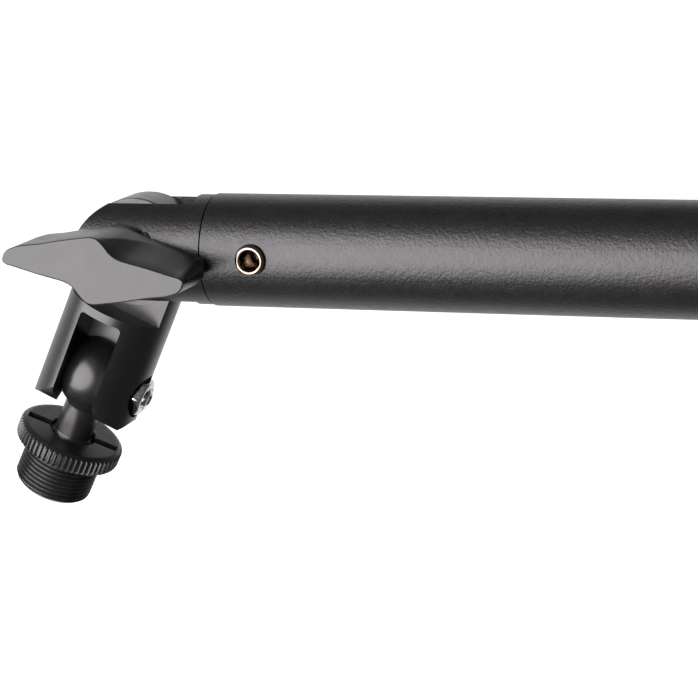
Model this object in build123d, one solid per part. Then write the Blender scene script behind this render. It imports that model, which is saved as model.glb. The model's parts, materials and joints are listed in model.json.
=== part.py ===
from build123d import *
import os
from math import sin, cos, tan, radians, pi, sqrt

os.makedirs("parts", exist_ok=True)

# ---------------------------------------------------------------------------
# Telescopic boom pole with a friction clevis head, a wing knob, a ball joint
# and a 5/8 in microphone thread.  Millimetres.  +X runs along the pole from
# the head to the butt, +Z is up, and the origin is the middle of the bare
# stretch of the rear tube, where a stand's clamp holds it.
# The head is drawn about its own pivot and then shifted by HEAD_X.
# ---------------------------------------------------------------------------

HEAD_X = -232.0          # pivot axis, along X from the clamp zone's middle

# front (sliding) tube
FT_R = 11.0              # outside radius, 22 mm tube
FT_RI = 9.7              # inside radius, 1.3 mm wall
FT_X0 = 15.5             # joint line with the clevis
FT_X1 = 395.0

# rear (fixed) tube
RT_R = 13.0              # outside radius, 26 mm tube
RT_RI = 11.75            # inside radius
RT_X0 = 137.0
RT_X1 = 456.0

# clevis
CL_R = 10.77             # outside radius
EAR_IN = 4.9             # half of the fork's gap
EAR_BACK = 12.4          # end wall of the fork's gap
JOINT_GAP = 0.35         # groove between the clevis's shoulder and the tube
SPOT_R = 6.85            # counterbore round the knob's hub
SPOT_Y = 9.6             # its depth, from the pole's axis
SPIGOT_X = 40.0          # far end of the spigot inside the tube

# swivel
SW_R = 10.63
SW_TILT = 24.3           # degrees of the swivel from straight down, at rest
TONGUE = 4.1             # half thickness
SHOULDER = 12.3
SW_END = 36.0
NOSE_ROUND = 8.8         # rounding of the barrel's end on the slot side
NUT_ROUND = 2.6          # and on the lock nut's side
BALL_S = 28.5            # ball centre from the pivot
BALL_R = 7.75
SEAT_R = 7.80
SLOT_W = 9.0
SLOT_TOP = 14.0

# pivot hardware
BOLT_R = 3.0             # M6
WASHER_R = 10.5
KNOB_FACE = 25.94        # front face of the wing knob

# ball stud and adapter
STUD_TILT = 26.9         # degrees of the stud from straight down, in XZ
STUD_BACK = 3.3          # degrees of lean towards +Y at rest
NECK_R = 3.8
STUD_R = 4.7625          # 3/8 in thread
FL_TOP = 14.0            # flange's top face from the ball centre
FL_H = 3.95
FL_R = 10.87
TH_R = 7.9375            # 5/8 in thread, major radius
TH_END = 26.95

# tension screw and lock nut
SCREW_R = 2.0
NUT_AF = 7.0
POCKET = 9.3             # pocket floor from the swivel's axis

# twist clutch
COL_X0, COL_X1, COL_R = 122.0, 149.5, 17.0
NOSE_R = 14.6


def xcyl(r, x0, x1, y=0, z=0):
    return Pos((x0 + x1) / 2, y, z) * Rot(0, 90, 0) * Cylinder(r, x1 - x0)


def ycyl(r, y0, y1, x=0, z=0):
    return Pos(x, (y0 + y1) / 2, z) * Rot(90, 0, 0) * Cylinder(r, y1 - y0)


def zcyl(r, z0, z1, x=0, y=0):
    return Pos(x, y, (z0 + z1) / 2) * Cylinder(r, z1 - z0)


def box(x0, x1, y0, y1, z0, z1):
    return Pos((x0 + x1) / 2, (y0 + y1) / 2, (z0 + z1) / 2) * Box(x1 - x0, y1 - y0, z1 - z0)


def lathe_x(pts):
    """Ring of revolution about X from (x, r) points."""
    f = make_face(Polyline([(x, r, 0) for x, r in pts] + [(pts[0][0], pts[0][1], 0)]))
    return revolve(f, Axis.X, 360)


def lathe_z(pts):
    """Ring of revolution about Z from (z, r) points."""
    f = make_face(Polyline([(r, 0, z) for z, r in pts] + [(pts[0][1], 0, pts[0][0])]))
    return revolve(f, Axis.Z, 360)


def save(shape, name):
    s = Pos(HEAD_X, 0, 0) * shape
    sol = s.solids()
    out = sol[0] if len(sol) == 1 else Compound(children=list(sol))
    export_step(out, "parts/" + name + ".step")


def edges_near(shape, test):
    return [e for e in shape.edges() if test(e)]


# --------------------------------------------------------------- front tube
front_tube = xcyl(FT_R, FT_X0 + JOINT_GAP, FT_X1) - xcyl(FT_RI, FT_X0 - 1, FT_X1 + 1)
RIV_X = 26.15
front_tube -= ycyl(2.1, -12, 12, RIV_X)
save(front_tube, "front_tube")

# --------------------------------------------------------------- clevis
profile = ycyl(CL_R, -11, 11) + box(0, FT_X0 - 0.02, -11, 11, -CL_R, CL_R)
clevis = profile & xcyl(CL_R, -12, 20)
clevis -= box(-20, EAR_BACK, -EAR_IN, EAR_IN, -20, 20)
clevis += lathe_x([(FT_X0 - 2.0, 7.0), (FT_X0 - 2.0, 9.66), (SPIGOT_X - 1, 9.66),
                   (SPIGOT_X, 8.7), (SPIGOT_X, 7.0)])
clevis -= xcyl(7.2, EAR_BACK + 3.0, SPIGOT_X + 1)
clevis -= ycyl(SPOT_R, -14, -SPOT_Y)
clevis -= ycyl(3.15, -14, 14)
hexp = Pos(0, 7.1, 0) * Rot(-90, 0, 0) * extrude(RegularPolygon(10.2 / 2, 6, major_radius=False), 8)
clevis -= hexp
clevis -= ycyl(2.1, -12, 12, RIV_X)
save(clevis, "clevis")

# --------------------------------------------------------------- tube rivet
# semi-tubular rivet: rolled ring head on -Y with a blind conical bore, flat
# set head on +Y
rivet = ycyl(2.05, -11.2, 11.2, RIV_X)
head = Pos(RIV_X, 0, 0) * Rot(90, 0, 0) * lathe_z(
    [(10.4, 0.0), (10.4, 2.9), (10.9, 3.1), (11.6, 2.95), (12.0, 2.55), (12.05, 2.15), (11.8, 1.95), (11.8, 0.0)])
rivet += head
rivet -= ycyl(1.85, -12.5, -8.2, RIV_X)
cone = Pos(RIV_X, -7.3, 0) * Rot(-90, 0, 0) * Cone(1.85, 0.25, 1.8)
rivet -= cone
rivet += Pos(RIV_X, 0, 0) * Rot(-90, 0, 0) * lathe_z(
    [(10.4, 0.0), (10.4, 2.9), (11.2, 2.9), (11.7, 2.3), (11.9, 1.2), (11.9, 0.0)])
save(rivet, "tube_rivet")
# head seats: the tube and the clevis spigot carry the rivet's flat shoulder
front_tube -= ycyl(3.15, -14, -10.4, RIV_X) + ycyl(3.0, 10.4, 14, RIV_X)
save(front_tube, "front_tube")

# --------------------------------------------------------------- pivot bolt
bolt = ycyl(BOLT_R, -20.6, 7.2)
bolt += Pos(0, 7.12, 0) * Rot(-90, 0, 0) * extrude(RegularPolygon(10.0 / 2, 6, major_radius=False), 4)
bolt &= (ycyl(5.6, -30, 10.6) + ycyl(4.9, 10.5, 11.12))
save(bolt, "pivot_bolt")

# --------------------------------------------------------------- washers
for nm, y0 in (("near_friction_washer", -EAR_IN + 0.02), ("far_friction_washer", TONGUE + 0.03)):
    w = ycyl(WASHER_R, y0, y0 + 0.75) - ycyl(3.15, y0 - 1, y0 + 2)
    save(w, nm)
kw = ycyl(6.3, -SPOT_Y - 0.8, -SPOT_Y) - ycyl(3.15, -12, -8)
save(kw, "knob_washer")

# --------------------------------------------------------------- wing knob
# two-winged knob: a sloping bar, the same after half a turn, with a flat front
# face and a round hub that runs in the clevis's counterbore
up = [(-18.2, 1.5), (-17.95, 2.75), (-17.2, 3.65), (-15.9, 4.2), (-13.5, 4.6), (-9.9, 5.1),
      (-6.6, 5.6), (-3.3, 6.05), (-1.1, 6.35), (0.3, 6.42), (1.3, 6.15), (2.1, 5.5),
      (2.9, 4.6), (3.75, 3.5), (4.8, 2.65), (6.0, 2.1), (7.7, 1.65), (10.6, 0.95),
      (13.5, 0.15), (16.2, -0.6), (17.6, -1.0)]
face = up + [(-x, -z) for x, z in up]
f = make_face(Polyline([(x, -KNOB_FACE, z) for x, z in face] + [(face[0][0], -KNOB_FACE, face[0][1])]))
knob = extrude(f, 11.5, dir=(0, 1, 0))
# back half of each wing, filled up to a plain bar
back = [(-19.0, -0.6), (-18.6, 2.4), (-15.0, 4.3), (-6.4, 6.1), (0, 6.6), (6.4, 6.1), (15.0, 3.2), (18.6, 1.4), (19.0, 0.6)]
back = back + [(-x, -z) for x, z in back[:-1]][0:]
b = make_face(Polyline([(x, -19.0, z) for x, z in back[:9]] + [(-x, -19.0, -z) for x, z in back[1:8]] + [(back[0][0], -19.0, back[0][1])]))
knob += extrude(b, 6.2, dir=(0, 1, 0))
knob += ycyl(6.4, -20, -SPOT_Y - 0.86)
knob -= ycyl(4.3, -22.0, -9)
save(knob, "wing_knob")
insert = ycyl(4.3, -21.95, -SPOT_Y - 0.86) - ycyl(3.05, -21.0, -9)
save(insert, "knob_insert")

# --------------------------------------------------------------- swivel body
# drawn hanging straight down from the pivot, then turned by SW_TILT about Y
sw = (ycyl(SW_R, -TONGUE, TONGUE) + box(-SW_R, SW_R, -TONGUE, TONGUE, -SHOULDER - 1, 0)) & zcyl(SW_R, -SHOULDER - 1, SW_R + 1)
sw += zcyl(SW_R, -SW_END, -SHOULDER)
try:
    e = edges_near(sw, lambda e: abs(e.center().Z + SW_END) < 0.01)
    s2 = fillet(e, 0.3)
    if s2.is_valid:
        sw = s2
except Exception:
    pass
try:
    e = edges_near(sw, lambda e: abs(e.center().Z + SHOULDER) < 0.01 and e.geom_type == GeomType.LINE)
    s2 = fillet(e, 1.2)
    if s2.is_valid:
        sw = s2
except Exception:
    pass
slot = box(-SLOT_W / 2, SLOT_W / 2, -12, 0, -SW_END - 1, -SLOT_TOP)
try:
    slot = fillet([x for x in slot.edges() if abs(x.center().Z + SLOT_TOP) < 0.01 and abs(abs(x.center().X) - SLOT_W / 2) < 0.01], 1.0)
except Exception:
    pass
sw -= slot
# the barrel's end is rounded off where the stud swings out, and at the nut
ny, nz = -(SW_R - NOSE_ROUND), -(SW_END - NOSE_ROUND)
sw -= box(-12, 12, -12, ny, -SW_END - 1, nz) - xcyl(NOSE_ROUND, -13, 13, ny, nz)
nx, nz = SW_R - NUT_ROUND, -(SW_END - NUT_ROUND)
sw -= box(nx, 12, -12, 12, -SW_END - 1, nz) - ycyl(NUT_ROUND, -13, 13, nx, nz)
sw -= Pos(0, 0, -BALL_S) * Sphere(SEAT_R)
# flared mouth that lets the neck lean, with a lip that keeps the ball in
d0 = 5.5
sw -= Pos(0, 0, -(BALL_S + 5.0 + SW_END + 0.5) / 2) * Cone(7.1, 5.3, SW_END + 0.5 - BALL_S - 5.0)
sw -= ycyl(3.05, -6, 6)
sw -= Pos(0, 0, -BALL_S) * xcyl(2.05, 6, 12)
sw -= Pos(0, 0, -BALL_S) * xcyl(4.6, POCKET, 14)
save(Rot(0, SW_TILT, 0) * sw, "swivel_body")

pad = xcyl(1.95, 7.0, 8.9) - Sphere(SEAT_R + 0.02)
save(Rot(0, SW_TILT, 0) * (Pos(0, 0, -BALL_S) * pad), "pressure_pad")
screw = xcyl(SCREW_R, 8.95, 12.2)
screw -= xcyl(0.0 + 1.15, 10.6, 13)
save(Rot(0, SW_TILT, 0) * (Pos(0, 0, -BALL_S) * screw), "tension_screw")
nut = Pos(POCKET + 0.03, 0, 0) * Rot(0, 90, 0) * extrude(RegularPolygon(NUT_AF / 2, 6, major_radius=False), 2.2)
nut &= lathe_x([(POCKET - 1, 0), (POCKET - 1, 3.55), (POCKET + 0.5, 4.1), (POCKET + 1.75, 4.1), (POCKET + 2.4, 3.45), (POCKET + 3, 0)])
nut -= xcyl(2.05, 5, 14)
save(Rot(0, SW_TILT, 0) * (Pos(0, 0, -BALL_S) * nut), "lock_nut")

# --------------------------------------------------------------- ball stud
A = radians(SW_TILT)
BX, BZ = -sin(A) * BALL_S, -cos(A) * BALL_S


def at_ball(s):
    """Moves a shape drawn hanging from the ball centre to its place."""
    return Pos(BX, 0, BZ) * Rot(0, STUD_TILT, 0) * Rot(STUD_BACK, 0, 0) * s


stud = Sphere(BALL_R) + zcyl(NECK_R, -FL_TOP + 1.2, 0)
stud += lathe_z([(-FL_TOP + 1.2, 0), (-FL_TOP + 1.2, NECK_R), (-FL_TOP + 0.1, NECK_R), (-FL_TOP - 0.6, 4.5), (-FL_TOP - 0.6, 0)])
stud += zcyl(STUD_R, -TH_END + 1.0, -FL_TOP - 0.5)
save(at_ball(stud), "ball_stud")

# --------------------------------------------------------------- adapter
z1, z2, z3 = -FL_TOP, -FL_TOP - FL_H, -TH_END
ad = lathe_z([(z1, STUD_R + 0.05), (z1, FL_R - 0.9), (z1 - 0.5, FL_R - 0.25), (z2 + 0.35, FL_R - 0.25), (z2, FL_R - 0.6),
              (z2, 7.3), (z2 - 0.5, 7.3), (z2 - 0.5, TH_R), (z3 + 0.6, TH_R), (z3, 7.35), (z3, STUD_R + 0.05)])
N = 60
teeth = []
for i in range(N):
    t = Rot(0, 0, i * 360.0 / N) * box(FL_R - 0.6, FL_R, -0.31, 0.31, z2 + 0.3, z1 - 0.45)
    teeth.append(t)
ad = ad + teeth
ad -= Rot(0, 0, 16) * (box(-FL_R - 1, -5.3, -0.65, 0.65, z1 - 1.3, z1 + 1) + box(5.3, FL_R + 1, -0.65, 0.65, z1 - 1.3, z1 + 1)) \
    & zcyl(9.6, z1 - 2, z1 + 2)
save(at_ball(ad), "thread_adapter")

# --------------------------------------------------------------- clutch
body = lathe_x([(129.5, 13.62), (129.5, NOSE_R - 0.4), (130.2, NOSE_R), (149.9, NOSE_R), (149.9, 16.4), (150.4, 16.8),
                (160.5, 16.8), (164.0, 14.2), (164.0, RT_R), (RT_X0, RT_R), (RT_X0, 12.13)])
save(body, "clutch_body")
collet = lathe_x([(125.15, FT_R + 0.05), (125.15, 14.1), (128.6, 14.1), (129.2, 13.6), (136.95, 12.05), (136.95, FT_R + 0.05)])
collet -= box(120, 140, -0.7, 0.7, 5, 20)
save(collet, "collet")
collar = lathe_x([(COL_X0, 12.4), (COL_X0, 14.6), (COL_X0 + 1.6, COL_R - 0.4), (COL_X1 - 0.8, COL_R - 0.4), (COL_X1, COL_R - 1.0),
                  (COL_X1, NOSE_R + 0.06), (129.3, NOSE_R + 0.06), (129.3, 14.45), (125.05, 14.45), (125.05, 11.4), (123.4, 11.4)])
ribs = []
for i in range(24):
    ribs.append(Rot(i * 15.0, 0, 0) * box(COL_X0 + 4.0, COL_X1 - 3.0, -0.9, 0.9, COL_R - 1.0, COL_R + 0.1))
collar = collar + ribs
save(collar, "lock_collar")

# --------------------------------------------------------------- inside the pole
bush = lathe_x([(377.0, FT_R), (377.0, 11.4), (377.6, RT_RI - 0.05), (395.0, RT_RI - 0.05), (395.0, FT_R)])
save(bush, "guide_bush")
plug = lathe_x([(383.0, 0), (383.0, 8.9), (384.0, FT_RI), (395.0, FT_RI), (395.0, 11.4), (397.5, 11.0), (397.5, 0)])
save(plug, "front_tube_plug")

# --------------------------------------------------------------- rear tube
rear_tube = xcyl(RT_R, RT_X0, RT_X1) - xcyl(RT_RI, RT_X0 - 1, RT_X1 + 1)
save(rear_tube, "rear_tube")
rplug = lathe_x([(438.0, 0), (438.0, 10.9), (439.0, RT_RI), (456.0, RT_RI), (456.0, RT_R - 0.1), (458.0, RT_R - 0.1), (458.0, 0)])
save(rplug, "rear_plug")
cap = lathe_x([(441.0, RT_R), (441.0, 14.2), (441.8, 15.0), (459.5, 15.0), (461.5, 13.4), (461.5, 0), (458.0, 0), (458.0, RT_R)])
save(cap, "end_cap")

# --------------------------------------------------------------- grip
grip = lathe_x([(302.0, RT_R), (302.0, 15.2), (304.0, 16.6), (434.0, 16.6), (436.0, 15.2), (436.0, RT_R)])
save(grip, "foam_grip")
rings = lathe_x([(298.5, RT_R), (298.5, 14.0), (299.3, 14.8), (302.0, 14.8), (302.0, RT_R)])
rings2 = lathe_x([(436.0, RT_R), (436.0, 14.8), (438.7, 14.8), (439.5, 14.0), (439.5, RT_R)])
save(Compound(children=[rings.solid(), rings2.solid()]), "grip_rings")
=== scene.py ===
import bpy, bmesh, json, math
import numpy as np
from mathutils import Matrix, Vector


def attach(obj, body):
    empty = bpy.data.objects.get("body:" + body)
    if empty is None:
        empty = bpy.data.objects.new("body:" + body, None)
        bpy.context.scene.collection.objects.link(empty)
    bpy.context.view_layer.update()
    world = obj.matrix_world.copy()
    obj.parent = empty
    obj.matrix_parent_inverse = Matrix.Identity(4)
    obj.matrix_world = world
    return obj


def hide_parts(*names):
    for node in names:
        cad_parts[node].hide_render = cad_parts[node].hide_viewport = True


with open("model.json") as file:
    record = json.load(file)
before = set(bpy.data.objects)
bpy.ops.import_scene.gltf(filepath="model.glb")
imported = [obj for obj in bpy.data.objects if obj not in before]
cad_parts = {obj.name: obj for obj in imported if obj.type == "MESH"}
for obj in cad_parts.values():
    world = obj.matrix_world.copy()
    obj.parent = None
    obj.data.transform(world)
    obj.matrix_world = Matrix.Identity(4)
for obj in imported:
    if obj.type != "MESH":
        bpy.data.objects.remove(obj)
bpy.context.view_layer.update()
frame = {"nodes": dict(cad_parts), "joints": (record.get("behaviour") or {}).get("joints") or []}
nodes = frame["nodes"]
scene = bpy.context.scene

# ----------------------------------------------------------------- reference points (metres)
joints = {j["name"]: j for j in frame["joints"]}
PIV = Vector(joints["head_pivot"]["pos_m"])              # head pivot, on the pole's axis
BALL = Vector(joints["stud_tilt"]["pos_m"])              # ball centre
STUD = Vector(joints["adapter_turn"]["axis"]).normalized()   # along the stud, away from the ball
TILT = -Vector(joints["stud_tilt"]["axis"]).normalized()
SCREW = Vector(joints["tension_screw_turn"]["axis"]).normalized()
MM = 0.001


def frame_of(origin, z, x):
    """4x4 whose local Z is z and local X is close to x."""
    z = z.normalized()
    x = (x - z * x.dot(z)).normalized()
    y = z.cross(x)
    m = Matrix.Identity(4)
    for i in range(3):
        m[i][0], m[i][1], m[i][2], m[i][3] = x[i], y[i], z[i], origin[i]
    return m


# ----------------------------------------------------------------- material helpers
def new_mat(name):
    m = bpy.data.materials.new(name)
    m.use_nodes = True
    nt = m.node_tree
    nt.nodes.clear()
    out = nt.nodes.new("ShaderNodeOutputMaterial")
    b = nt.nodes.new("ShaderNodeBsdfPrincipled")
    nt.links.new(b.outputs[0], out.inputs[0])
    tc = nt.nodes.new("ShaderNodeTexCoord")
    return m, nt, b, tc


def noise(nt, tc, scale, detail=3.0, rough=0.5, stretch=None, dist=0.0):
    n = nt.nodes.new("ShaderNodeTexNoise")
    n.inputs["Scale"].default_value = scale
    n.inputs["Detail"].default_value = detail
    n.inputs["Roughness"].default_value = rough
    n.inputs["Distortion"].default_value = dist
    if stretch:
        mp = nt.nodes.new("ShaderNodeMapping")
        mp.inputs["Scale"].default_value = stretch
        nt.links.new(tc.outputs["Object"], mp.inputs["Vector"])
        nt.links.new(mp.outputs[0], n.inputs["Vector"])
    else:
        nt.links.new(tc.outputs["Object"], n.inputs["Vector"])
    return n


def ramp(nt, src, stops):
    r = nt.nodes.new("ShaderNodeValToRGB")
    e = r.color_ramp.elements
    while len(e) < len(stops):
        e.new(0.5)
    for el, (p, c) in zip(e, stops):
        el.position = p
        el.color = (c[0], c[1], c[2], 1) if isinstance(c, (tuple, list)) else (c, c, c, 1)
    nt.links.new(src, r.inputs["Fac"])
    return r


def bump(nt, height, strength, distance, prev=None):
    b = nt.nodes.new("ShaderNodeBump")
    b.inputs["Strength"].default_value = strength
    b.inputs["Distance"].default_value = distance
    nt.links.new(height, b.inputs["Height"])
    if prev:
        nt.links.new(prev.outputs[0], b.inputs["Normal"])
    return b


def surface(name, c0, c1, r0, r1, bumps, metallic=0.0, mottle=90.0, spec=0.5, wear=None, **kw):
    """Procedural finish: colour and roughness vary with two noises, relief from the listed bumps
    [(scale, strength, distance_m, detail)]; wear lightens convex edges a little."""
    m, nt, b, tc = new_mat(name)
    b.inputs["Metallic"].default_value = metallic
    b.inputs["Specular IOR Level"].default_value = spec
    for k, v in kw.items():
        b.inputs[k.replace("_", " ")].default_value = v
    n1 = noise(nt, tc, mottle, 4.0, 0.6)
    col = ramp(nt, n1.outputs["Fac"], [(0.3, c0), (0.7, c1)])
    last = col.outputs[0]
    if wear:
        g = nt.nodes.new("ShaderNodeNewGeometry")
        wr = ramp(nt, g.outputs["Pointiness"], [(0.505, 0.0), (0.56, 1.0)])
        n3 = noise(nt, tc, 900, 3.0, 0.7)
        mul = nt.nodes.new("ShaderNodeMath"); mul.operation = "MULTIPLY"
        nt.links.new(wr.outputs[0], mul.inputs[0]); nt.links.new(n3.outputs["Fac"], mul.inputs[1])
        mx = nt.nodes.new("ShaderNodeMix"); mx.data_type = "RGBA"
        nt.links.new(mul.outputs[0], mx.inputs["Factor"])
        nt.links.new(last, mx.inputs["A"])
        mx.inputs["B"].default_value = (*wear, 1)
        last = mx.outputs["Result"]
    nt.links.new(last, b.inputs["Base Color"])
    n2 = noise(nt, tc, mottle * 2.7, 3.0, 0.55)
    rr = ramp(nt, n2.outputs["Fac"], [(0.3, r0), (0.7, r1)])
    nt.links.new(rr.outputs[0], b.inputs["Roughness"])
    prev = None
    for sc, st, ds, de in bumps:
        n = noise(nt, tc, sc, de, 0.55)
        prev = bump(nt, n.outputs["Fac"], st, ds, prev)
    if prev:
        nt.links.new(prev.outputs[0], b.inputs["Normal"])
    return m


# fine orange-peel powder coat: shallow pits about 0.6 mm across
M_TUBE = surface("powder_coat", (0.0040, 0.0038, 0.0042), (0.0062, 0.0059, 0.0066), 0.34, 0.41,
                 [(1600, 0.58, 0.00012, 2.0), (3800, 0.50, 0.00005, 2.0)], mottle=240)
M_CLEVIS = surface("clevis_powder_coat", (0.0040, 0.0038, 0.0042), (0.0064, 0.0060, 0.0067), 0.34, 0.40,
                   [(1600, 0.58, 0.00012, 2.0), (3800, 0.50, 0.00005, 2.0)], mottle=240)
M_SWIVEL = surface("swivel_satin", (0.0042, 0.0040, 0.0045), (0.0062, 0.0060, 0.0066), 0.28, 0.34,
                   [(700, 0.10, 0.00006, 2.0), (3800, 0.05, 0.00003, 2.0)], mottle=160)
M_KNOB = surface("knob_plastic", (0.0068, 0.0065, 0.0070), (0.0088, 0.0084, 0.0090), 0.31, 0.37,
                 [(900, 0.05, 0.00005, 3.0), (5500, 0.04, 0.00002, 2.0)], mottle=120)
M_STUD = surface("stud_black", (0.0050, 0.0048, 0.0053), (0.0080, 0.0076, 0.0084), 0.26, 0.34,
                 [(2600, 0.10, 0.00003, 3.0)], mottle=200)
M_ADAPT = surface("adapter_black", (0.0060, 0.0058, 0.0064), (0.0095, 0.0091, 0.0100), 0.32, 0.42,
                  [(1700, 0.10, 0.00005, 3.0)], mottle=260)
M_NICKEL = surface("rivet_nickel", (0.20, 0.158, 0.128), (0.27, 0.215, 0.178), 0.12, 0.20,
                   [(2200, 0.10, 0.00003, 3.0)], metallic=1.0, mottle=500)
M_CHROME = surface("bright_plate", (0.46, 0.45, 0.44), (0.58, 0.57, 0.56), 0.08, 0.15,
                   [(2400, 0.10, 0.00003, 3.0)], metallic=1.0, mottle=600)
M_BOLT = surface("bolt_black_zinc", (0.020, 0.020, 0.022), (0.045, 0.044, 0.048), 0.30, 0.44,
                 [(1800, 0.12, 0.00004, 3.0)], metallic=0.6, mottle=300)
M_WASH = surface("washer_acetal", (0.045, 0.044, 0.047), (0.075, 0.073, 0.077), 0.40, 0.52,
                 [(2100, 0.10, 0.00003, 3.0)], mottle=220)
M_ZINC = surface("washer_zinc", (0.42, 0.42, 0.43), (0.58, 0.58, 0.59), 0.24, 0.40,
                 [(1600, 0.12, 0.00003, 4.0)], metallic=1.0, mottle=420)
M_BRASS = surface("insert_brass", (0.62, 0.44, 0.18), (0.78, 0.58, 0.28), 0.22, 0.36,
                  [(1900, 0.10, 0.00003, 3.0)], metallic=1.0, mottle=420)
M_NYLON = surface("nylon", (0.62, 0.61, 0.56), (0.72, 0.71, 0.66), 0.42, 0.55,
                  [(1500, 0.10, 0.00004, 3.0)], mottle=240)
M_CLUTCH = surface("clutch_nylon", (0.0080, 0.0077, 0.0083), (0.0120, 0.0116, 0.0124), 0.42, 0.54,
                   [(1900, 0.20, 0.00005, 3.0), (600, 0.08, 0.00008, 2.0)], mottle=200)
M_RUBBER = surface("cap_rubber", (0.010, 0.010, 0.010), (0.016, 0.0155, 0.0155), 0.62, 0.78,
                   [(1400, 0.30, 0.00006, 4.0)], mottle=180)
M_RING = surface("ring_plastic", (0.0090, 0.0087, 0.0092), (0.0130, 0.0126, 0.0133), 0.36, 0.46,
                 [(1700, 0.12, 0.00004, 3.0)], mottle=240)
M_COLLET = surface("collet_acetal", (0.16, 0.16, 0.165), (0.21, 0.21, 0.215), 0.40, 0.50,
                   [(1500, 0.10, 0.00004, 3.0)], mottle=240)


def foam_mat():
    m, nt, b, tc = new_mat("grip_foam")
    b.inputs["Specular IOR Level"].default_value = 0.25
    v = nt.nodes.new("ShaderNodeTexVoronoi")
    v.inputs["Scale"].default_value = 1500
    nt.links.new(tc.outputs["Object"], v.inputs["Vector"])
    n = noise(nt, tc, 420, 5.0, 0.65)
    col = ramp(nt, n.outputs["Fac"], [(0.3, (0.008, 0.008, 0.0083)), (0.7, (0.018, 0.018, 0.0186))])
    nt.links.new(col.outputs[0], b.inputs["Base Color"])
    rr = ramp(nt, v.outputs["Distance"], [(0.0, 0.95), (1.0, 0.72)])
    nt.links.new(rr.outputs[0], b.inputs["Roughness"])
    b1 = bump(nt, v.outputs["Distance"], 0.55, 0.00025)
    b2 = bump(nt, n.outputs["Fac"], 0.35, 0.0003, b1)
    nt.links.new(b2.outputs[0], b.inputs["Normal"])
    return m


M_FOAM = foam_mat()


def use(node, mat):
    o = nodes[node]
    o.data.materials.clear()
    o.data.materials.append(mat)


for nd, mt in {"front_tube": M_TUBE, "clevis": M_CLEVIS, "rear_tube": M_TUBE, "swivel_body": M_SWIVEL,
               "near_friction_washer": M_WASH, "far_friction_washer": M_WASH, "knob_washer": M_ZINC,
               "knob_insert": M_BRASS, "pressure_pad": M_NYLON, "pivot_bolt": M_BOLT, "collet": M_COLLET,
               "guide_bush": M_NYLON, "front_tube_plug": M_RING, "rear_plug": M_RING, "clutch_body": M_CLUTCH,
               "grip_rings": M_RING}.items():
    use(nd, mt)


# ----------------------------------------------------------------- mesh helpers
def finish_mesh(name, verts, faces, mat, body, cad, angle=32, matrix=None):
    me = bpy.data.meshes.new(name)
    me.from_pydata([tuple(v) for v in verts], [], faces)
    if matrix is not None:
        me.transform(matrix)
    bm = bmesh.new(); bm.from_mesh(me)
    bmesh.ops.remove_doubles(bm, verts=bm.verts, dist=1e-7)
    bmesh.ops.recalc_face_normals(bm, faces=bm.faces)
    bm.to_mesh(me); bm.free()
    for p in me.polygons:
        p.use_smooth = True
    me.set_sharp_from_angle(angle=math.radians(angle))
    me.materials.append(mat)
    o = bpy.data.objects.new(name, me)
    scene.collection.objects.link(o)
    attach(o, body)
    if cad:
        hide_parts(*([cad] if isinstance(cad, str) else cad))
    return o


def lathe(profile, seg, radial=None):
    """Closed revolution about local Z. profile [(z, r)] in mm, a closed loop that may touch r=0.
    radial(theta, z, r) may change r."""
    verts, faces = [], []
    n = len(profile)
    for i in range(seg):
        t = 2 * math.pi * i / seg
        for z, r in profile:
            rr = radial(t, z, r) if radial else r
            verts.append((rr * math.cos(t) * MM, rr * math.sin(t) * MM, z * MM))
    for i in range(seg):
        a, b = i * n, ((i + 1) % seg) * n
        for k in range(n):
            k2 = (k + 1) % n
            faces.append([a + k, a + k2, b + k2, b + k])
    return verts, clean(faces, verts)


def clean(faces, verts):
    out = []
    for f in faces:
        g = []
        for i in f:
            if not any(abs(verts[i][0] - verts[j][0]) + abs(verts[i][1] - verts[j][1]) + abs(verts[i][2] - verts[j][2]) < 1e-9 for j in g):
                g.append(i)
        if len(g) >= 3:
            out.append(g)
    return out


def arc(cx, cy, r, a0, a1, n=5):
    return [(cx + r * math.cos(math.radians(a0 + (a1 - a0) * i / n)), cy + r * math.sin(math.radians(a0 + (a1 - a0) * i / n))) for i in range(n + 1)]


AX_POLE = frame_of(Vector((PIV.x, 0, 0)), Vector((1, 0, 0)), Vector((0, 0, 1)))   # local z = distance from the pivot along the pole
AX_STUD = frame_of(BALL, STUD, TILT)                                               # local z = distance from the ball centre
AX_SCREW = frame_of(BALL, SCREW, Vector((0, -1, 0)))


# ----------------------------------------------------------------- thread adapter (5/8 in-27)
def thread_r(major, depth, pitch):
    def f(theta, z, r):
        ph = (z / pitch - theta / (2 * math.pi)) % 1.0
        # 60 degree form with small crest and root flats
        t = abs(ph - 0.5) * 2
        s = min(max((t - 0.10) / 0.80, 0.0), 1.0)
        return major - depth * (1 - s)
    return f


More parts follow.
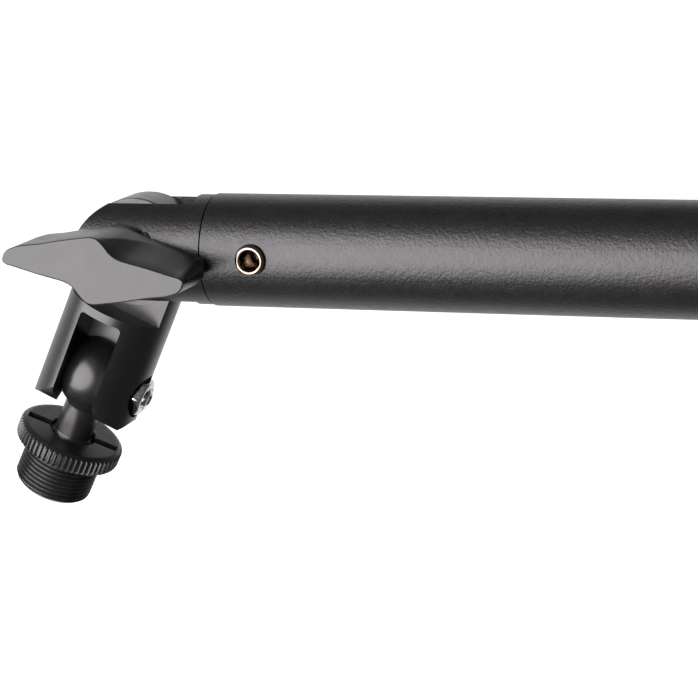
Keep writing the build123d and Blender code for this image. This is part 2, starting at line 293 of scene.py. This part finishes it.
def adapter():
    top, flh, end = 14.0, 3.95, 26.95
    FLR, MAJ, P, DEP = 10.87, 7.9375, 0.9407, 0.56
    z1, z2, z3 = top, top + flh, end
    tf = thread_r(MAJ, DEP, P)
    prof = [(z1 + 0.25, 4.8125), (z1, 5.05), (z1, 7.0), (z1, 9.2), (z1, 9.85)]
    prof += [(z1 + 0.05, 9.97), (z1 + 0.30, 10.22), (z1 + 0.34, 10.3)]
    prof += [(z1 + 0.40, 10.5), (z1 + 0.55, 10.74), (z1 + 0.75, FLR), (z2 - 0.9, FLR), (z2 - 0.6, 10.80), (z2 - 0.32, 10.6), (z2 - 0.12, 10.2), (z2, 9.9)]
    prof += [(z2, 8.4), (z2 + 0.02, 7.5), (z2 + 0.12, 7.35), (z2 + 0.5, 7.35)]
    zz = z2 + 0.5
    L0, L1 = zz, z3
    nz = int((L1 - L0) / 0.0588)
    for i in range(nz + 1):
        prof.append((L0 + (L1 - L0) * i / nz, -1.0))
    prof += [(z3, 6.9), (z3, 5.4), (z3 - 0.35, 4.8125), (z3 - 4, 4.8125), (z3 - 8, 4.8125)]

    N = 60

    def rad(theta, z, r):
        if r == -1.0:
            rr = tf(theta, z, r)
            # start and end chamfers
            lim = 7.35 + max(0.0, (z - L0)) * 1.1
            lim2 = 7.05 + max(0.0, (L1 - z)) * 1.0
            return min(rr, lim, lim2)
        if r > 10.45 and z1 + 0.4 < z < z2 - 0.05:
            ph = (theta * N / (2 * math.pi)) % 1.0
            w = 0.5 - 0.5 * math.cos(2 * math.pi * ph)
            w = min(1.0, max(0.0, (w - 0.15) / 0.55))
            e = min(1.0, (z - z1 - 0.36) / 0.16, (z2 - 0.05 - z) / 0.25)
            return r - 0.50 * (1 - w) * max(0.0, e)
        return r
    v, f = lathe(prof, 480, rad)
    # two pockets of the driver slot, sunk in the top face
    o = finish_mesh("thread_adapter_detail", v, f, M_ADAPT, "thread_adapter", "thread_adapter", 30, AX_STUD)
    return o


adapter_obj = adapter()


def cut(obj, verts, faces, matrix, solver="EXACT"):
    """Boolean cut with a closed tool mesh, applied."""
    me = bpy.data.meshes.new("tool")
    me.from_pydata([tuple(v) for v in verts], [], faces)
    me.transform(matrix)
    t = bpy.data.objects.new("tool", me)
    scene.collection.objects.link(t)
    bm = bmesh.new(); bm.from_mesh(me); bmesh.ops.recalc_face_normals(bm, faces=bm.faces); bm.to_mesh(me); bm.free()
    md = obj.modifiers.new("cut", "BOOLEAN")
    md.operation = "DIFFERENCE"; md.solver = solver; md.object = t
    dg = bpy.context.evaluated_depsgraph_get()
    new = bpy.data.meshes.new_from_object(obj.evaluated_get(dg), depsgraph=dg)
    obj.modifiers.clear()
    old = obj.data
    obj.data = new
    new.name = old.name
    for p in new.polygons:
        p.use_smooth = True
    new.set_sharp_from_angle(angle=math.radians(30))
    bpy.data.objects.remove(t)


def brick(x0, x1, y0, y1, z0, z1):
    v = [(x * MM, y * MM, z * MM) for x in (x0, x1) for y in (y0, y1) for z in (z0, z1)]
    f = [[0, 1, 3, 2], [4, 6, 7, 5], [0, 4, 5, 1], [2, 3, 7, 6], [0, 2, 6, 4], [1, 5, 7, 3]]
    return v, f


SLOT_ROT = Matrix.Rotation(math.radians(-16), 4, "Z")
for x0, x1 in ((-9.6, -4.6), (4.6, 9.6)):
    v, f = brick(x0, x1, -1.1, 1.1, 12.8, 15.3)
    cut(adapter_obj, v, f, AX_STUD @ SLOT_ROT)


# ----------------------------------------------------------------- ball stud
def ball_stud():
    R, NR = 7.75, 3.8
    a0 = math.degrees(math.asin(NR / R))
    prof = [(R * -math.cos(math.radians(t)), R * math.sin(math.radians(t))) for t in np.linspace(0, 180 - a0 - 3, 64)]
    zb = R * math.cos(math.asin(NR / R))
    prof += [(zb + 0.25, NR + 0.12), (zb + 0.6, NR), (11.3, NR), (13.7, NR), (14.1, 3.95), (14.5, 4.35)]
    tf = thread_r(4.7625, 0.75, 1.5875)
    nz = 110
    for i in range(nz + 1):
        prof.append((14.6 + (25.9 - 14.6) * i / nz, -1.0))
    prof += [(25.95, 3.6), (25.95, 0.0)]

    def rad(theta, z, r):
        if r == -1.0:
            return min(tf(theta, z, r), 4.4 + max(0, z - 14.6), 3.8 + max(0.0, 25.9 - z))
        return r
    v, f = lathe(prof, 144, rad)
    return finish_mesh("ball_stud_detail", v, f, M_STUD, "ball_stud", "ball_stud", 34, AX_STUD)


ball_stud()


# ----------------------------------------------------------------- rivet
def rivet():
    m = frame_of(Vector((PIV.x + 26.15 * MM, 0, 0)), Vector((0, -1, 0)), Vector((0, 0, 1)))
    prof = [(3.0, 0.0), (3.1, 1.0), (3.6, 1.7), (4.6, 1.82), (11.3, 1.86)]
    prof += [(11.7, 1.90), (11.92, 2.02), (12.05, 2.2), (12.08, 2.4), (12.0, 2.62), (11.85, 2.8), (11.6, 2.94), (11.35, 3.0), (11.0, 3.04), (10.7, 3.06), (10.42, 3.06), (10.42, 2.1)]
    prof += [(-10.42, 2.05), (-10.42, 2.9), (-11.0, 2.9), (-11.35, 2.75), (-11.65, 2.3), (-11.82, 1.6), (-11.9, 0.8), (-11.92, 0.0)]
    v, f = lathe(prof, 96)
    return finish_mesh("tube_rivet_detail", v, f, M_NICKEL, "front_pole", "tube_rivet", 40, m)


rivet()


# ----------------------------------------------------------------- lock nut and tension screw
def hexnut(z0, z1, af, bore, pitch, name):
    """Hexagonal nut with chamfered corners and a threaded bore, about local Z."""
    seg = 180
    prof_z = [z0, z0 + 0.12, z0 + 0.35, (z0 + z1) / 2, z1 - 0.55, z1 - 0.3, z1 - 0.12, z1]
    tf = thread_r(bore + 0.02, -0.0, pitch)
    verts, faces, rows = [], [], []
    Rc = af / 2 / math.cos(math.radians(30))

    def hexr(t):
        a = (t % (math.pi / 3)) - math.pi / 6
        return (af / 2) / math.cos(a)
    for i in range(seg):
        t = 2 * math.pi * i / seg
        col = []
        h = hexr(t)
        # bearing face, flank, chamfer, top face, countersink, bore with thread
        lim = [(z0, 3.3), (z0 + 0.05, min(h, 3.42)), (z0 + 0.30, min(h, 3.85)), (z0 + 0.5, h), (z1 - 0.62, h), (z1 - 0.42, min(h, 3.88)), (z1 - 0.22, min(h, 3.62)),
               (z1 - 0.06, min(h, 3.34)), (z1, 3.2), (z1, 2.55), (z1 - 0.05, 2.45), (z1 - 0.35, 2.12)]
        nz = 16
        for k in range(nz + 1):
            z = (z1 - 0.4) + (z0 + 0.3 - (z1 - 0.4)) * k / nz
            ph = (z / pitch - t / (2 * math.pi)) % 1.0
            lim.append((z, 2.05 + 0.22 * (1 - abs(ph - 0.5) * 2)))
        lim += [(z0, 2.4)]
        base = len(verts)
        for z, r in lim:
            verts.append((r * math.cos(t) * MM, r * math.sin(t) * MM, z * MM))
        rows.append(base)
    n = len(lim)
    for i in range(seg):
        a, b = rows[i], rows[(i + 1) % seg]
        for k in range(n):
            faces.append([a + k, a + (k + 1) % n, b + (k + 1) % n, b + k])
    return verts, clean(faces, verts)


v, f = hexnut(9.33, 11.53, 7.0, 2.05, 0.7, "nut")
finish_mesh("lock_nut_detail", v, f, M_CHROME, "lock_nut", "lock_nut", 24, AX_SCREW)


def tension_screw():
    seg = 120
    prof = [(8.97, 0.0), (8.97, 1.35), (9.25, 1.7)]
    nz = 60
    for k in range(nz + 1):
        prof.append((9.3 + (12.0 - 9.3) * k / nz, -1.0))
    prof += [(12.15, 1.55), (12.2, 1.45), (12.2, -2.0), (12.0, -3.0), (10.7, -3.0), (10.5, 0.0)]
    tf = thread_r(2.0, 0.36, 0.7)

    def rad(theta, z, r):
        if r == -1.0:
            return min(tf(theta, z, r), 1.62 + max(0, 12.15 - z) * 0.9)
        if r in (-2.0, -3.0):
            a = (theta % (math.pi / 3)) - math.pi / 6
            return (1.02 if r == -3.0 else 1.12) / math.cos(a)
        return r
    v, f = lathe(prof, seg, rad)
    return finish_mesh("tension_screw_detail", v, f, M_CHROME, "tension_screw", "tension_screw", 34, AX_SCREW)


tension_screw()


# ----------------------------------------------------------------- wing knob
def catmull(pts, per):
    """Closed Catmull-Rom through 3D points."""
    n = len(pts)
    P = [np.array(p, float) for p in pts]
    out = []
    for i in range(n):
        p0, p1, p2, p3 = P[i - 1], P[i], P[(i + 1) % n], P[(i + 2) % n]
        d1 = max(np.linalg.norm(p2 - p1), 1e-6)
        # chord-scaled tangents keep long flats straight beside short corners
        d0 = max(np.linalg.norm(p1 - p0), 1e-6); d2 = max(np.linalg.norm(p3 - p2), 1e-6)
        m1 = ((p1 - p0) / d0 * d1 + (p2 - p1) / d1 * d0) / (d0 + d1) * d1
        m2 = ((p2 - p1) / d1 * d2 + (p3 - p2) / d2 * d1) / (d1 + d2) * d1
        for k in range(per):
            t = k / per
            h = (2 * t**3 - 3 * t**2 + 1) * p1 + (t**3 - 2 * t**2 + t) * m1 + (-2 * t**3 + 3 * t**2) * p2 + (t**3 - t**2) * m2
            out.append(h)
    return np.array(out)


def wing_knob():
    YF = -25.94
    F = [(-18.2, 1.5), (-17.95, 2.75), (-17.2, 3.65), (-15.9, 4.2), (-10.5, 5.0), (-5.3, 5.85), (-2.3, 6.22), (-0.9, 6.38),
         (0.3, 6.42), (1.3, 6.15), (2.1, 5.5), (2.9, 4.6), (3.75, 3.5), (4.8, 2.65), (6.0, 2.1), (7.7, 1.65), (10.6, 0.95),
         (13.5, 0.15), (16.2, -0.6), (17.6, -1.0)]
    B = [(-18.0, -16, 1.3), (-17.85, -16, 2.8), (-17.1, -16, 3.75), (-15.9, -16, 4.35), (-10.5, -16, 5.2), (-5.3, -16, 6.05),
         (-2.3, -17, 6.45), (-0.9, -19, 6.55), (0.4, -22, 6.52), (1.45, -24, 6.2), (2.6, -22.5, 5.75), (3.4, -20.5, 5.4),
         (4.4, -18.8, 5.0), (5.6, -17.6, 4.6), (6.8, -16.8, 4.2), (8.4, -16.2, 3.75), (11.0, -16, 3.0), (13.8, -16, 2.1),
         (16.0, -16, 1.05), (17.35, -16, 0.1)]
    C = [(-17.7, -13.4, 1.3), (-17.55, -13.4, 2.7), (-16.8, -13.4, 3.6), (-15.7, -13.4, 4.25), (-10.4, -13.4, 5.15), (-5.2, -13.4, 6.0),
         (-2.3, -13.4, 6.45), (-0.9, -13.4, 6.6), (0.4, -13.4, 6.6), (1.45, -13.4, 6.5), (2.6, -13.4, 6.25), (3.4, -13.4, 5.95),
         (4.4, -13.4, 5.5), (5.6, -13.4, 5.0), (6.8, -13.4, 4.5), (8.4, -13.4, 4.0), (11.0, -13.4, 3.15), (13.8, -13.4, 2.2),
         (16.2, -13.4, 1.15), (17.7, -13.4, 0.2)]
    F3 = [(x, YF, z) for x, z in F] + [(-x, YF, -z) for x, z in F]
    B3 = B + [(-x, y, -z) for x, y, z in B]
    C3 = C + [(-x, y, -z) for x, y, z in C]
    per = 7
    Fr, Br, Cr = catmull(F3, per), catmull(B3, per), catmull(C3, per)
    n = len(Fr)
    # inward direction of the face outline, in XZ
    tang = np.roll(Fr, -1, 0) - np.roll(Fr, 1, 0)
    nrm = np.stack([tang[:, 2], np.zeros(n), -tang[:, 0]], 1)
    nrm /= np.linalg.norm(nrm, axis=1)[:, None]
    cen = Fr.mean(0)
    if ((cen - Fr) * nrm).sum() < 0:
        nrm = -nrm
    wall = Br - Fr
    wl = np.linalg.norm(wall, axis=1)[:, None]
    wd = wall / wl
    rings = []
    for t in (0.62, 0.46):
        rings.append(Fr + nrm * t)                                   # flat face, inset rings
    e = 0.30
    for k in range(6):                                               # rounded edge
        a = k / 5 * math.pi / 2
        rings.append(Fr + nrm * e * (1 - math.sin(a)) + wd * np.minimum(e * (1 - math.cos(a)), wl * 0.45))
    for t in (0.3, 0.6, 0.85, 0.95):
        rings.append(Fr + wall * t)
    rings.append(Br * 1.0 + (Cr - Br) * 0.03)
    rings.append(Br + (Cr - Br) * 0.12)
    for t in (0.4, 0.75, 0.93):
        rings.append(Br + (Cr - Br) * t)
    cc = Cr.copy(); cc[:, 0] *= 0.985; cc[:, 2] *= 0.96; cc[:, 1] += 0.25
    rings.append(cc)
    # underside of the wings runs in to the round hub
    ang = np.arctan2(Cr[:, 2], Cr[:, 0])
    rad = np.hypot(Cr[:, 0], Cr[:, 2])
    hub = np.stack([6.4 * np.cos(ang), np.full(n, -12.9), 6.4 * np.sin(ang)], 1)
    mid = cc * 0.5 + hub * 0.5; mid[:, 1] = -13.05
    rings.append(mid)
    rings.append(hub)
    h2 = hub.copy(); h2[:, 1] = -12.5; rings.append(h2)
    h3 = hub.copy(); h3[:, 1] = -10.75; rings.append(h3)
    h4 = hub.copy(); h4[:, 0] *= 0.96; h4[:, 2] *= 0.96; h4[:, 1] = -10.46; rings.append(h4)
    h5 = hub.copy(); h5[:, 0] *= 0.68; h5[:, 2] *= 0.68; h5[:, 1] = -10.46; rings.append(h5)
    h6 = h5.copy(); h6[:, 1] = -22.0; rings.append(h6)
    verts = np.concatenate(rings)
    faces = []
    m = len(rings)
    for r in range(m - 1):
        for i in range(n):
            j = (i + 1) % n
            faces.append([r * n + i, r * n + j, (r + 1) * n + j, (r + 1) * n + i])
    faces.append(list(range(n))[::-1])
    faces.append([(m - 1) * n + i for i in range(n)])
    mat = Matrix.Translation(PIV)
    V = [(x * MM, y * MM, z * MM) for x, y, z in verts]
    return finish_mesh("wing_knob_moulded", V, clean(faces, V), M_KNOB, "wing_knob", "wing_knob", 38, mat)


wing_knob()


# ----------------------------------------------------------------- lock collar, grip, cap
def collar():
    x0, x1, R, NR = 122.0, 149.5, 17.0, 14.6
    prof = [(x0, 12.6), (x0, 14.0), (x0 + 0.12, 14.5), (x0 + 0.5, 15.1), (x0 + 1.3, 15.9), (x0 + 2.2, 16.4), (x0 + 3.0, 16.6)]
    prof += [(x0 + 3.6 + (x1 - 3.2 - x0 - 3.6) * i / 14, 16.95) for i in range(15)]
    prof += [(x1 - 2.6, 16.6), (x1 - 1.2, 16.55), (x1 - 0.45, 16.4), (x1 - 0.12, 16.1), (x1, 15.8), (x1, NR + 0.2), (x1 - 0.2, NR + 0.06)]
    prof += [(129.3, NR + 0.06), (129.3, 14.45), (125.05, 14.45), (125.05, 11.5), (124.9, 11.4), (123.3, 11.4)]

    def rad(theta, z, r):
        if r > 16.7:
            ph = (theta * 24 / (2 * math.pi)) % 1.0
            w = 0.5 + 0.5 * math.cos(2 * math.pi * ph)
            w = w ** 1.6
            e = min(1.0, (z - x0 - 3.3) / 2.0, (x1 - 2.9 - z) / 2.0)
            return 16.35 + 0.68 * w * max(0.0, e)
        return r
    v, f = lathe(prof, 384, rad)
    return finish_mesh("lock_collar_ribbed", v, f, M_CLUTCH, "lock_collar", "lock_collar", 34, AX_POLE)


collar()


def grip():
    x0, x1 = 302.0, 436.0
    prof = [(x0, 13.0), (x0, 14.6), (x0 + 0.15, 15.2), (x0 + 0.6, 15.8), (x0 + 1.3, 16.25), (x0 + 2.2, 16.5), (x0 + 3.4, 16.6)]
    prof += [(x0 + 5 + (x1 - x0 - 10) * i / 60, 16.6) for i in range(61)]
    prof += [(x1 - 3.4, 16.6), (x1 - 2.2, 16.5), (x1 - 1.3, 16.25), (x1 - 0.6, 15.8), (x1 - 0.15, 15.2), (x1, 14.6), (x1, 13.0)]

    def rad(theta, z, r):
        if r > 16.55:
            # very slight hand-cut waviness of foam tube
            return r - 0.10 - 0.07 * math.sin(z * 0.21 + 1.3 * math.sin(theta)) - 0.05 * math.sin(3 * theta + z * 0.07)
        return r
    v, f = lathe(prof, 120, rad)
    return finish_mesh("foam_grip_sleeve", v, f, M_FOAM, "rear_pole", "foam_grip", 40, AX_POLE)


grip()


def cap():
    prof = [(441.0, 13.0), (441.0, 14.0), (441.15, 14.35), (441.6, 14.8), (442.2, 15.0)]
    x = 443.0
    while x < 456.5:
        prof += [(x, 15.0), (x + 0.25, 14.62), (x + 0.8, 14.62), (x + 1.05, 15.0)]
        x += 2.4
    prof += [(458.6, 15.0), (459.6, 14.8), (460.5, 14.3), (461.1, 13.5), (461.4, 12.4), (461.5, 11.0), (461.5, 4.5), (461.2, 3.9), (461.0, 3.0), (461.0, 0.0)]
    prof += [(458.0, 0.0), (458.0, 13.0)]
    v, f = lathe(prof, 128)
    return finish_mesh("end_cap_ribbed", v, f, M_RUBBER, "rear_pole", "end_cap", 34, AX_POLE)


cap()


# ----------------------------------------------------------------- stage
def plane(name, z, size, mat):
    me = bpy.data.meshes.new(name)
    s = size / 2
    me.from_pydata([(-s, -s, z), (s, -s, z), (s, s, z), (-s, s, z)], [], [[0, 1, 2, 3]])
    me.materials.append(mat)
    o = bpy.data.objects.new(name, me)
    scene.collection.objects.link(o)
    return o


fm = bpy.data.materials.new("floor_white")
fm.use_nodes = True
fb = fm.node_tree.nodes["Principled BSDF"]
fb.inputs["Base Color"].default_value = (0.90, 0.90, 0.905, 1)
fb.inputs["Roughness"].default_value = 0.9
fb.inputs["Emission Color"].default_value = (1, 1, 1, 1)
fb.inputs["Emission Strength"].default_value = 1.0
floor = plane("floor", -0.62, 60.0, fm)
floor.visible_glossy = False
floor.visible_diffuse = False
floor.visible_transmission = False

# world: a white cyclorama behind and under the object, dark above and in front
w = bpy.data.worlds.new("studio")
scene.world = w
w.use_nodes = True
nt = w.node_tree
nt.nodes.clear()
wo = nt.nodes.new("ShaderNodeOutputWorld")
bg = nt.nodes.new("ShaderNodeBackground")
nt.links.new(bg.outputs[0], wo.inputs[0])
tc = nt.nodes.new("ShaderNodeTexCoord")
sp = nt.nodes.new("ShaderNodeSeparateXYZ")
nt.links.new(tc.outputs["Generated"], sp.inputs[0])


def wmath(op, a, b, c=None):
    n = nt.nodes.new("ShaderNodeMath")
    n.operation = op
    for k, v_ in enumerate((a, b, c)):
        if v_ is None:
            continue
        if isinstance(v_, (int, float)):
            n.inputs[k].default_value = v_
        else:
            nt.links.new(v_, n.inputs[k])
    return n.outputs[0]


zpos = wmath("MAXIMUM", sp.outputs["Z"], 0.0)
xpos = wmath("ADD", wmath("MAXIMUM", sp.outputs["X"], -0.35), 0.35)
tt = wmath("MULTIPLY_ADD", zpos, -0.75, sp.outputs["Y"])
tt = wmath("MULTIPLY_ADD", xpos, -0.85, tt)
mr = nt.nodes.new("ShaderNodeMapRange")
mr.interpolation_type = "SMOOTHSTEP"
for k, v_ in zip(("From Min", "From Max", "To Min", "To Max"), (-0.25, 0.35, 0.13, 1.05)):
    mr.inputs[k].default_value = v_
nt.links.new(tt, mr.inputs["Value"])
nt.links.new(mr.outputs[0], bg.inputs["Strength"])
bg.inputs["Color"].default_value = (1, 1, 1, 1)


def area(name, pos, target, sx, sy, radiance, color=(1, 1, 1)):
    L = bpy.data.lights.new(name, "AREA")
    L.shape = "ELLIPSE"
    L.size, L.size_y = sx, sy
    L.energy = radiance * math.pi * sx * sy
    L.color = color
    o = bpy.data.objects.new(name, L)
    o.location = pos
    d = (Vector(target) - Vector(pos)).normalized()
    o.rotation_euler = d.to_track_quat("-Z", "Y").to_euler()
    o.visible_camera = False
    scene.collection.objects.link(o)
    return o


HEAD = Vector((PIV.x + 0.02, 0, 0))
KEY_AZ, KEY_EL, KEY_D = math.radians(-33), math.radians(4), 0.75
d = Vector((math.sin(KEY_AZ) * math.cos(KEY_EL), -math.cos(KEY_AZ) * math.cos(KEY_EL), math.sin(KEY_EL)))
area("key_softbox", HEAD + d * KEY_D, HEAD, 1.40, 1.14, 6.4, (1.0, 0.96, 0.985))

# ----------------------------------------------------------------- camera
F_PX, AZ, EL, ROLL = 2197.732, 17.528, 12.347, -1.824
CAM = Vector((166.842, -396.276, 71.965)) * MM + Vector((PIV.x, 0, 0))
a, e, r = (math.radians(t) for t in (AZ, EL, ROLL))
fw = Vector((-math.sin(a) * math.cos(e), math.cos(a) * math.cos(e), -math.sin(e)))
rt = Vector((math.cos(a), math.sin(a), 0))
up = rt.cross(fw)
rt2 = rt * math.cos(r) + up * math.sin(r)
up2 = -rt * math.sin(r) + up * math.cos(r)
cam = bpy.data.cameras.new("camera")
cam.sensor_fit = "HORIZONTAL"
cam.sensor_width = 36.0
cam.lens = F_PX / 698.0 * 36.0
cam.clip_start = 0.01
cam.clip_end = 200.0
co = bpy.data.objects.new("camera", cam)
m = Matrix.Identity(4)
for i in range(3):
    m[i][0], m[i][1], m[i][2], m[i][3] = rt2[i], up2[i], -fw[i], CAM[i]
co.matrix_world = m
scene.collection.objects.link(co)
scene.camera = co
scene.view_settings.view_transform = "Standard"
scene.view_settings.look = "None"
